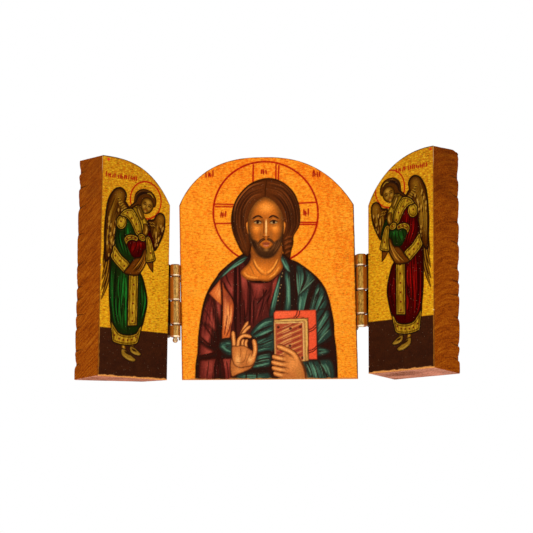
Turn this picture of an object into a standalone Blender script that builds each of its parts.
"""A small hinged triptych icon: an arched centre panel and two folding wings of stained wood.

Each wing hangs on one brass butt hinge. A hinge is a leaf on the panel's edge, a leaf on the
wing's edge, the pin through their four knuckles, and two small nails in each leaf.

Frame: metres, +Z up, painted faces to -Y. The origin is on the ground, in the middle of the footprint
with the wings half open. The wings are built flat open in their own frames on the hinge axes, then
swung forward.
"""

import math
from dataclasses import dataclass, field

import bmesh
import bpy
from mathutils import Vector

MM = 0.001

# Boards
BOARD_THICKNESS = 14.3 * MM
FRONT_ARRIS = 0.4 * MM
BACK_CHAMFER = 0.5 * MM
ARCH_STEPS = 36
TORN_STEPS = 64
PLAIN_STEPS = 6

PANEL_WIDTH = 58.6 * MM
PANEL_HEIGHT = 76.8 * MM
PANEL_RISE = 16.6 * MM
WING_WIDTH = 27.6 * MM
LEFT_WING_HEIGHT = 74.5 * MM
LEFT_WING_RISE = 14.4 * MM
RIGHT_WING_HEIGHT = 76.5 * MM
RIGHT_WING_RISE = 17.1 * MM

# The boards were sawn a little out of square: each leans sideways by this much, pivoting at LEAN_PIVOT.
PANEL_LEAN = math.radians(-0.7)
LEFT_WING_LEAN = math.radians(1.5)
RIGHT_WING_LEAN = math.radians(0.85)
LEAN_PIVOT = 27.6 * MM
# Their undersides slope too: how high each underside is at the painted face and at the back.
PANEL_FOOT_FRONT = 0.6 * MM
PANEL_FOOT_BACK = 2.6 * MM
LEFT_FOOT_FRONT = 0.4 * MM
LEFT_FOOT_BACK = 0.0
RIGHT_FOOT_FRONT = 2.2 * MM
RIGHT_FOOT_BACK = 1.05 * MM

# Swing of each wing at rest, forward from flat open
LEFT_SWING = math.radians(38.0)
RIGHT_SWING = math.radians(43.3)

# Middle of the footprint with the wings so, from the middle of the centre panel
FOOTPRINT_X = -0.5 * MM
FOOTPRINT_Y = -10.9 * MM

# Hinges
AXIS_TO_PANEL = 2.3 * MM
AXIS_TO_WING = 2.85 * MM
AXIS_FORWARD = 0.3 * MM
HINGE_LENGTH = 25.0 * MM
LEFT_HINGE_FOOT = 15.0 * MM
RIGHT_HINGE_FOOT = 18.2 * MM
END_KNUCKLE = 4.25 * MM
MIDDLE_KNUCKLE = 8.25 * MM
KNUCKLE_GAP = 0.25 * MM
KNUCKLE_EASE = 0.36 * MM
BARREL_RADIUS = 1.75 * MM
BORE_RADIUS = 0.95 * MM
PIN_RADIUS = 0.7 * MM
PIN_BALL_RADIUS = 0.9 * MM
PIN_RECESS = 0.15 * MM
PIN_EASE = 0.12 * MM
PANEL_LEAF_OUTER = 1.65 * MM
WING_LEAF_OUTER = 1.95 * MM
LEAF_THICKNESS = 0.6 * MM
ROOT_NEAR = 1.12 * MM
ROOT_FRONT = 0.07 * MM
ROOT_EASE = 0.08 * MM
LEAF_DEPTH = 9.0 * MM
PANEL_LEAF_CLEAR = 1.55 * MM
WING_LEAF_CLEAR = 1.3 * MM
LEAF_OVERLAP = 0.4 * MM
ROUND_STEPS = 32

# Nails
NAIL_SPREAD = 7.5 * MM
NAIL_DEPTH = 5.4 * MM
NAIL_LENGTH = 6.0 * MM
NAIL_RADIUS = 0.4 * MM
NAIL_HOLE_RADIUS = 0.65 * MM
NAIL_HEAD_RADIUS = 0.95 * MM
NAIL_HEAD_HEIGHT = 0.28 * MM
NAIL_HEAD_GAP = 0.05 * MM
NAIL_STEPS = 20


@dataclass(frozen=True)
class Notch:
    """A torn place in a board's rough back edge: its height, how deep it bites and how far it tapers."""

    height: float
    depth: float
    taper: float


@dataclass(frozen=True)
class ArchHalf:
    """One half of an arched top: a power above 2 is fuller than a circle, and reach nears 1 at a springing."""

    power: float
    reach: float

    def drop(self, share: float) -> float:
        """How far the arch has fallen, 0 at the crown and 1 at the shoulder, at this share of the half width."""
        fallen = 1.0 - math.sqrt(1.0 - (self.reach * share) ** self.power)
        return fallen / (1.0 - math.sqrt(1.0 - self.reach**self.power))


@dataclass(frozen=True)
class Board:
    """An arched board, seen from the front: it runs from start to end in X, with its crown at crown."""

    start: float
    end: float
    crown: float
    height: float
    rise: float
    lean: float
    left_arch: ArchHalf
    right_arch: ArchHalf
    foot_front: float = 0.0
    foot_back: float = 0.0
    start_notches: tuple[Notch, ...] = field(default=())
    end_notches: tuple[Notch, ...] = field(default=())

    def top(self, x: float, inset: float) -> float:
        """Height of the arch over x, for an outline drawn in by inset."""
        half = (self.crown - self.start) if x < self.crown else (self.end - self.crown)
        arch = self.left_arch if x < self.crown else self.right_arch
        share = min(1.0, abs(x - self.crown) / max(half - inset, MM)) if half > MM else 0.0
        return self.height - inset - self.rise * arch.drop(share)

    def outline(self, inset: float, foot: float) -> list[tuple[float, float, float]]:
        """Closed outline, anticlockwise from the lower left, as x, z and how deep its back edge is torn."""
        left, right = self.start + inset, self.end - inset
        points = []
        for i in range(PLAIN_STEPS):
            points.append((left + (right - left) * i / PLAIN_STEPS, foot, 0.0))
        right_top = self.top(right, inset)
        steps = TORN_STEPS if self.end_notches else PLAIN_STEPS
        for i in range(steps):
            z = foot + (right_top - foot) * i / steps
            points.append((right, z, torn(z, self.end_notches)))
        for i in range(ARCH_STEPS):
            x = right + (left - right) * 0.5 * (1.0 - math.cos(math.pi * i / ARCH_STEPS))
            points.append((x, self.top(x, inset), 0.0))
        left_top = self.top(left, inset)
        steps = TORN_STEPS if self.start_notches else PLAIN_STEPS
        for i in range(steps):
            z = left_top + (foot - left_top) * i / steps
            points.append((left, z, torn(z, self.start_notches)))
        return points

    def leaned(self, x: float, y: float, z: float) -> Vector:
        """The point moved by the board's lean."""
        return Vector((x + math.tan(self.lean) * (z - LEAN_PIVOT), y, z))


def torn(z: float, notches: tuple[Notch, ...]) -> float:
    """Depth of the torn back edge at height z: each notch starts sharply and tapers away upwards."""
    depth = 0.0
    for notch in notches:
        above = z - notch.height
        reach = notch.taper if above > 0.0 else 0.25 * notch.taper
        depth = max(depth, notch.depth * math.exp(-abs(above) / reach))
    return depth


def remove_everything() -> None:
    """Empties the scene."""
    for obj in list(bpy.data.objects):
        bpy.data.objects.remove(obj, do_unlink=True)


def material(name: str, colour: tuple[float, float, float], roughness: float, metallic: float):
    """A Principled material with one colour."""
    made = bpy.data.materials.new(name)
    made.use_nodes = True
    shader = made.node_tree.nodes["Principled BSDF"]
    shader.inputs["Base Color"].default_value = (*colour, 1.0)
    shader.inputs["Roughness"].default_value = roughness
    shader.inputs["Metallic"].default_value = metallic
    made.diffuse_color = (*colour, 1.0)
    return made


def add_object(name: str, bm: bmesh.types.BMesh, finish, parent=None):
    """Turns the bmesh into an object of this name and frees it."""
    bmesh.ops.recalc_face_normals(bm, faces=bm.faces)
    mesh = bpy.data.meshes.new(name)
    bm.to_mesh(mesh)
    bm.free()
    mesh.materials.append(finish)
    obj = bpy.data.objects.new(name, mesh)
    bpy.context.scene.collection.objects.link(obj)
    obj.parent = parent
    return obj


def add_cutter(name: str, bm: bmesh.types.BMesh, parent=None):
    """A helper for a Boolean, left out of the part."""
    obj = add_object(name, bm, bpy.data.materials["Brass"], parent)
    obj.hide_render = True
    obj.display_type = "WIRE"
    return obj


def boolean(obj, other, operation: str) -> None:
    """Adds an exact Boolean with the other object."""
    modifier = obj.modifiers.new(other.name, "BOOLEAN")
    modifier.operation = operation
    modifier.solver = "EXACT"
    modifier.object = other


def board_mesh(board: Board) -> bmesh.types.BMesh:
    """The board as rings of its outline, from the painted face to the back, with flat ends."""
    bm = bmesh.new()
    front = -BOARD_THICKNESS / 2
    back = BOARD_THICKNESS / 2
    face = board.outline(FRONT_ARRIS, board.foot_front + FRONT_ARRIS)
    near = board.outline(0.0, board.foot_front)
    far = board.outline(0.0, board.foot_back)
    rear = board.outline(2 * BACK_CHAMFER, board.foot_back + BACK_CHAMFER)
    rings = [
        [board.leaned(x, front, z) for x, z, _ in face],
        [board.leaned(x, front + FRONT_ARRIS, z) for x, z, _ in near],
        [board.leaned(x, back - BACK_CHAMFER - tear, z) for x, z, tear in far],
        [board.leaned(x, back, z) for x, z, _ in rear],
    ]
    loops = [[bm.verts.new(point) for point in ring] for ring in rings]
    for near, far in zip(loops, loops[1:]):
        for i in range(len(near)):
            j = (i + 1) % len(near)
            bm.faces.new((near[i], near[j], far[j], far[i]))
    bm.faces.new(loops[0])
    bm.faces.new(list(reversed(loops[-1])))
    return bm


def turned(profile: list[tuple[float, float]], steps: int, centre=(0.0, 0.0)) -> bmesh.types.BMesh:
    """A solid turned about the vertical through centre, from (radius, z) points; it is capped at both ends."""
    bm = bmesh.new()
    rings = []
    for radius, z in profile:
        angles = [2 * math.pi * i / steps for i in range(steps)]
        spots = [(centre[0] + radius * math.cos(a), centre[1] + radius * math.sin(a), z) for a in angles]
        rings.append([bm.verts.new(spot) for spot in spots])
    for low, high in zip(rings, rings[1:]):
        for i in range(steps):
            j = (i + 1) % steps
            bm.faces.new((low[i], low[j], high[j], high[i]))
    bm.faces.new(list(reversed(rings[0])))
    bm.faces.new(rings[-1])
    return bm


def box(low: tuple[float, float, float], high: tuple[float, float, float]) -> bmesh.types.BMesh:
    """A box between two corners."""
    bm = bmesh.new()
    bmesh.ops.create_cube(bm, size=1.0)
    for vert in bm.verts:
        vert.co = Vector((a + (b - a) * (t + 0.5) for a, b, t in zip(low, high, vert.co)))
    return bm


def lay_along_x(bm: bmesh.types.BMesh, side: int, spot: Vector) -> bmesh.types.BMesh:
    """Turns an upright solid so that its +Z points along side times X, and moves it to spot."""
    for vert in bm.verts:
        x, y, z = vert.co
        vert.co = Vector((side * z, y, -side * x)) + spot
    return bm


def knuckle_spans() -> list[tuple[float, float]]:
    """Lower and upper end of the four knuckles, from the top down, above the hinge's foot."""
    spans = []
    upper = HINGE_LENGTH
    for length in (END_KNUCKLE, MIDDLE_KNUCKLE, MIDDLE_KNUCKLE, END_KNUCKLE):
        lower = upper - length
        spans.append((lower + KNUCKLE_GAP / 2, upper - KNUCKLE_GAP / 2))
        upper = lower
    return spans


def knuckle_profile(low: float, high: float) -> list[tuple[float, float]]:
    """Turned outline of one rolled knuckle, its end edges eased."""
    return [
        (BARREL_RADIUS - KNUCKLE_EASE, low),
        (BARREL_RADIUS, low + KNUCKLE_EASE),
        (BARREL_RADIUS, high - KNUCKLE_EASE),
        (BARREL_RADIUS - KNUCKLE_EASE, high),
    ]


def nail_heights(foot: float) -> list[float]:
    """Heights of a leaf's lower and upper nail."""
    middle = foot + HINGE_LENGTH / 2
    return [middle - NAIL_SPREAD, middle + NAIL_SPREAD]


def add_leaf(
    name: str, side: int, foot: float, knuckles: tuple[int, ...], outer: float, clear: float, finish, parent
):
    """One hinge leaf: its plate lies on the board's edge at side times X, and it rolls into these knuckles.

    The frame is the hinge axis, and outer is the distance from it to the plate's face on the board. The
    plate runs back along +Y from clear behind the axis, short of the other leaf's knuckles where they turn.
    """
    inner = outer - LEAF_THICKNESS
    near, far = sorted((side * inner, side * outer))
    root_near, root_far = sorted((side * ROOT_NEAR, side * outer))
    plate = box((near, clear, foot), (far, LEAF_DEPTH, foot + HINGE_LENGTH))
    leaf = add_object(name, plate, finish, parent)
    spans = knuckle_spans()
    for index in knuckles:
        low, high = (foot + end for end in spans[index])
        ends = (low + ROOT_EASE, high - ROOT_EASE)
        tongue = box((root_near, ROOT_FRONT, ends[0]), (root_far, clear + LEAF_OVERLAP, ends[1]))
        boolean(leaf, add_cutter(f"{name}_tongue_{index}", tongue, parent), "UNION")
        roll = turned(knuckle_profile(low, high), ROUND_STEPS)
        boolean(leaf, add_cutter(f"{name}_roll_{index}", roll, parent), "UNION")
    bore = turned([(BORE_RADIUS, foot - MM), (BORE_RADIUS, foot + HINGE_LENGTH + MM)], ROUND_STEPS)
    boolean(leaf, add_cutter(f"{name}_bore", bore, parent), "DIFFERENCE")
    for number, height in enumerate(nail_heights(foot)):
        hole = turned([(NAIL_HOLE_RADIUS, 0.0), (NAIL_HOLE_RADIUS, 2 * outer)], NAIL_STEPS)
        lay_along_x(hole, side, Vector((0.0, NAIL_DEPTH, height)))
        boolean(leaf, add_cutter(f"{name}_hole_{number}", hole, parent), "DIFFERENCE")
    return leaf


def add_nails(name: str, side: int, foot: float, outer: float, board, finish, parent) -> None:
    """The two nails of a leaf, with a hole in the board around each shank."""
    head_top = outer - LEAF_THICKNESS - NAIL_HEAD_GAP - NAIL_HEAD_HEIGHT
    profile = [
        (0.45 * NAIL_HEAD_RADIUS, head_top),
        (0.85 * NAIL_HEAD_RADIUS, head_top + 0.3 * NAIL_HEAD_HEIGHT),
        (NAIL_HEAD_RADIUS, head_top + 0.8 * NAIL_HEAD_HEIGHT),
        (NAIL_HEAD_RADIUS, head_top + NAIL_HEAD_HEIGHT),
        (NAIL_RADIUS, head_top + NAIL_HEAD_HEIGHT),
        (NAIL_RADIUS, head_top + NAIL_LENGTH - 3 * NAIL_RADIUS),
        (0.2 * NAIL_RADIUS, head_top + NAIL_LENGTH),
    ]
    for word, height in zip(("lower", "upper"), nail_heights(foot)):
        spot = Vector((0.0, NAIL_DEPTH, height))
        shank = lay_along_x(turned(profile, NAIL_STEPS), side, spot)
        add_object(f"{name}_{word}_nail", shank, finish, parent)
        drill = turned([(NAIL_HOLE_RADIUS, 0.0), (NAIL_HOLE_RADIUS, NAIL_LENGTH + MM)], NAIL_STEPS)
        lay_along_x(drill, side, spot)
        boolean(board, add_cutter(f"{name}_{word}_drill", drill, parent), "DIFFERENCE")


def add_pin(name: str, foot: float, with_ball: bool, finish, parent) -> None:
    """The hinge pin: a plain rod, with or without a ball below the lowest knuckle."""
    profile = [(PIN_RADIUS - PIN_EASE, foot + PIN_RECESS), (PIN_RADIUS, foot + PIN_RECESS + PIN_EASE)]
    if with_ball:
        ball = foot - PIN_BALL_RADIUS
        neck = math.asin(PIN_RADIUS / PIN_BALL_RADIUS)
        angles = [(math.pi - neck) * i / 9 for i in range(1, 10)]
        profile = [(PIN_BALL_RADIUS * math.sin(a), ball - PIN_BALL_RADIUS * math.cos(a)) for a in angles]
    top = foot + HINGE_LENGTH - PIN_RECESS
    profile += [(PIN_RADIUS, top - PIN_EASE), (PIN_RADIUS - PIN_EASE, top)]
    add_object(name, turned(profile, ROUND_STEPS), finish, parent)


def add_empty(name: str, spot: tuple[float, float, float], parent=None):
    """An empty at this spot in its parent's frame."""
    empty = bpy.data.objects.new(name, None)
    bpy.context.scene.collection.objects.link(empty)
    empty.location = spot
    empty.parent = parent
    return empty


def add_axis(name: str, side: int, frame):
    """An empty on the hinge axis beside the centre panel's edge."""
    x = side * (PANEL_WIDTH / 2 + AXIS_TO_PANEL)
    return add_empty(name, (x, -BOARD_THICKNESS / 2 - AXIS_FORWARD, 0.0), frame)


def add_wing(word: str, side: int, board: Board, swing: float, foot: float, wood, brass, frame) -> None:
    """A wing with its leaf and nails, hung on its axis and swung forward."""
    axis = add_axis(f"{word}_hinge_axis", side, frame)
    body = board_mesh(board)
    for vert in body.verts:
        vert.co.y += BOARD_THICKNESS / 2 + AXIS_FORWARD
    wing = add_object(f"{word}_wing", body, wood, axis)
    name = f"{word}_wing_leaf"
    add_leaf(name, side, foot, (1, 3), WING_LEAF_OUTER, WING_LEAF_CLEAR, brass, axis)
    add_nails(name, side, foot, WING_LEAF_OUTER, wing, brass, axis)
    axis.rotation_euler.z = -side * swing


def add_panel_side(word: str, side: int, panel, foot: float, with_ball: bool, brass, frame) -> None:
    """The panel's leaf, nails and pin of one hinge."""
    axis = add_axis(f"{word}_hinge_line", side, frame)
    name = f"{word}_panel_leaf"
    add_leaf(name, -side, foot, (0, 2), PANEL_LEAF_OUTER, PANEL_LEAF_CLEAR, brass, axis)
    add_nails(name, -side, foot, PANEL_LEAF_OUTER, panel, brass, axis)
    add_pin(f"{word}_hinge_pin", foot, with_ball, brass, axis)


def shade(name: str) -> None:
    """Smooth shading with sharp edges kept."""
    mesh = bpy.data.objects[name].data
    mesh.shade_smooth()
    mesh.set_sharp_from_angle(angle=math.radians(35.0))


def main() -> None:
    """Builds the triptych."""
    remove_everything()
    wood = material("Stained wood", (0.30, 0.085, 0.012), 0.6, 0.0)
    brass = material("Brass", (0.55, 0.36, 0.11), 0.35, 1.0)
    frame = add_empty("triptych", (-FOOTPRINT_X, -FOOTPRINT_Y, 0.0))

    half = PANEL_WIDTH / 2 + FRONT_ARRIS
    panel_board = Board(
        start=-half,
        end=half,
        crown=0.0,
        height=PANEL_HEIGHT,
        rise=PANEL_RISE,
        lean=PANEL_LEAN,
        left_arch=ArchHalf(power=2.54, reach=0.93),
        right_arch=ArchHalf(power=2.36, reach=0.81),
        foot_front=PANEL_FOOT_FRONT,
        foot_back=PANEL_FOOT_BACK,
    )
    panel = add_object("centre_panel", board_mesh(panel_board), wood, frame)
    add_panel_side("left", -1, panel, LEFT_HINGE_FOOT, True, brass, frame)
    add_panel_side("right", 1, panel, RIGHT_HINGE_FOOT, False, brass, frame)

    near = AXIS_TO_WING - FRONT_ARRIS
    far = AXIS_TO_WING + WING_WIDTH + FRONT_ARRIS
    left_board = Board(
        start=-far,
        end=-near,
        crown=-far,
        height=LEFT_WING_HEIGHT,
        rise=LEFT_WING_RISE,
        lean=LEFT_WING_LEAN,
        left_arch=ArchHalf(power=2.7, reach=0.81),
        right_arch=ArchHalf(power=2.7, reach=0.81),
        foot_front=LEFT_FOOT_FRONT,
        foot_back=LEFT_FOOT_BACK,
        start_notches=(
            Notch(5.2 * MM, 1.5 * MM, 1.6 * MM),
            Notch(9.8 * MM, 0.5 * MM, 2.4 * MM),
            Notch(17.0 * MM, 0.8 * MM, 1.4 * MM),
            Notch(21.5 * MM, 0.6 * MM, 2.0 * MM),
            Notch(26.8 * MM, 0.7 * MM, 2.6 * MM),
            Notch(31.0 * MM, 1.0 * MM, 2.2 * MM),
            Notch(38.5 * MM, 0.4 * MM, 3.0 * MM),
            Notch(49.0 * MM, 0.5 * MM, 2.5 * MM),
            Notch(58.0 * MM, 0.9 * MM, 3.0 * MM),
            Notch(65.0 * MM, 1.9 * MM, 1.5 * MM),
            Notch(70.0 * MM, 1.5 * MM, 2.0 * MM),
        ),
    )
    right_board = Board(
        start=near,
        end=far,
        crown=far,
        height=RIGHT_WING_HEIGHT,
        rise=RIGHT_WING_RISE,
        lean=RIGHT_WING_LEAN,
        left_arch=ArchHalf(power=2.11, reach=0.92),
        right_arch=ArchHalf(power=2.11, reach=0.92),
        foot_front=RIGHT_FOOT_FRONT,
        foot_back=RIGHT_FOOT_BACK,
        end_notches=(
            Notch(6.6 * MM, 2.1 * MM, 1.2 * MM),
            Notch(11.0 * MM, 0.8 * MM, 1.6 * MM),
            Notch(19.6 * MM, 0.9 * MM, 2.6 * MM),
            Notch(27.2 * MM, 0.6 * MM, 2.0 * MM),
            Notch(31.6 * MM, 0.7 * MM, 2.0 * MM),
            Notch(36.2 * MM, 1.7 * MM, 1.8 * MM),
            Notch(44.5 * MM, 0.7 * MM, 2.6 * MM),
            Notch(52.0 * MM, 0.8 * MM, 2.8 * MM),
            Notch(60.5 * MM, 0.7 * MM, 3.0 * MM),
            Notch(67.0 * MM, 1.0 * MM, 2.6 * MM),
        ),
    )
    add_wing("left", -1, left_board, LEFT_SWING, LEFT_HINGE_FOOT, wood, brass, frame)
    add_wing("right", 1, right_board, RIGHT_SWING, RIGHT_HINGE_FOOT, wood, brass, frame)

    for obj in list(bpy.data.objects):
        if obj.type == "MESH" and obj.name not in ("centre_panel", "left_wing", "right_wing"):
            shade(obj.name)


if __name__ == "__main__":
    main()
